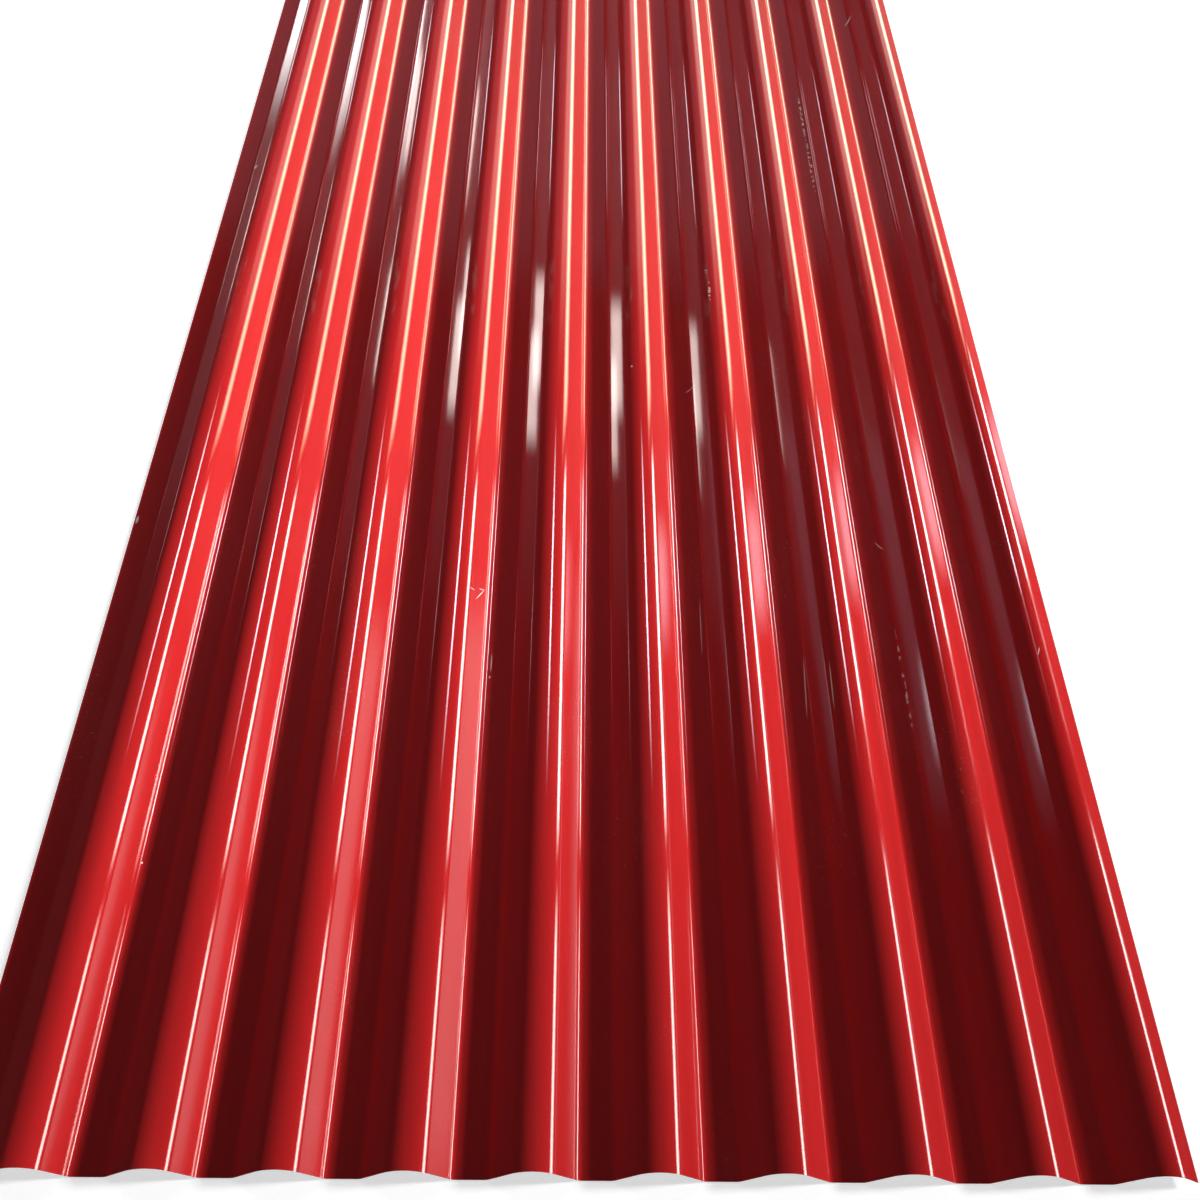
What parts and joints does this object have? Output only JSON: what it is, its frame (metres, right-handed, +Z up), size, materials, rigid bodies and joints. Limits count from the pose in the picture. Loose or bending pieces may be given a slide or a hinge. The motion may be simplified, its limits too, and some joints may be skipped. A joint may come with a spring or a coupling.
{
  "type": "corrugated metal sheet",
  "caption": "Flat-lying rectangular sheet of red painted steel, roll-formed into round crowns and flat-bottomed valleys, for roofs and walls, with side edges that lap its neighbours.",
  "frame": {"origin": "under the middle of the sheet, on the plane that the valleys rest on", "axes": "+Y along the corrugations, +X across them to the edge that is turned down, +Z up to the crowns"},
  "size_m": [0.7522, 2, 0.016],
  "materials": {
    "red_paint": "gloss"
  },
  "bodies": {
    "root": {"corrugated_sheet": "red_paint"}
  },
  "joints": []
}
